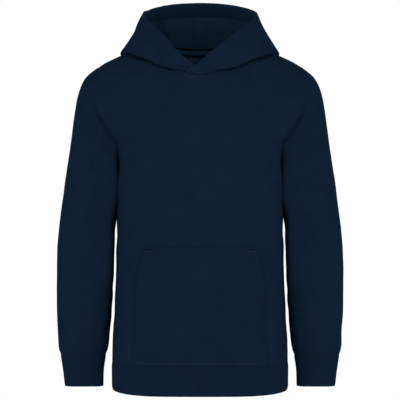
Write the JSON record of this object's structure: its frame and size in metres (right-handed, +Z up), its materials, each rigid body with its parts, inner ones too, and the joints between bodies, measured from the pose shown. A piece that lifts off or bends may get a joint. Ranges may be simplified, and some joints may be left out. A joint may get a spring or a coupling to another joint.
{
  "type": "toddler hoodie",
  "caption": "Navy toddler's pullover hoodie, filled out and hollow, with a kangaroo pocket, rib cuffs and hem band, and the hood down.",
  "frame": {"origin": "centre of the neck, between the high points of the shoulders, where the wearer holds the garment up", "axes": "+Z up, -Y to the garment's front, +X to the wearer's left"},
  "size_m": [0.3556, 0.2013, 0.4889],
  "materials": {
    "body_front_cloth": "matte",
    "body_back_cloth": "matte",
    "sleeve_left_cloth": "matte",
    "sleeve_right_cloth": "matte",
    "cuff_left_cloth": "matte",
    "cuff_right_cloth": "matte",
    "hem_band_cloth": "matte",
    "kangaroo_pocket_cloth": "matte",
    "hood_left_cloth": "matte",
    "hood_right_cloth": "matte",
    "neck_tape_cloth": "matte"
  },
  "bodies": {
    "root": {"body_front": "body_front_cloth", "body_back": "body_back_cloth", "sleeve_left": "sleeve_left_cloth", "sleeve_right": "sleeve_right_cloth", "cuff_left": "cuff_left_cloth", "cuff_right": "cuff_right_cloth", "hem_band": "hem_band_cloth", "kangaroo_pocket": "kangaroo_pocket_cloth", "hood_left": "hood_left_cloth", "hood_right": "hood_right_cloth", "neck_tape": "neck_tape_cloth"}
  },
  "joints": []
}
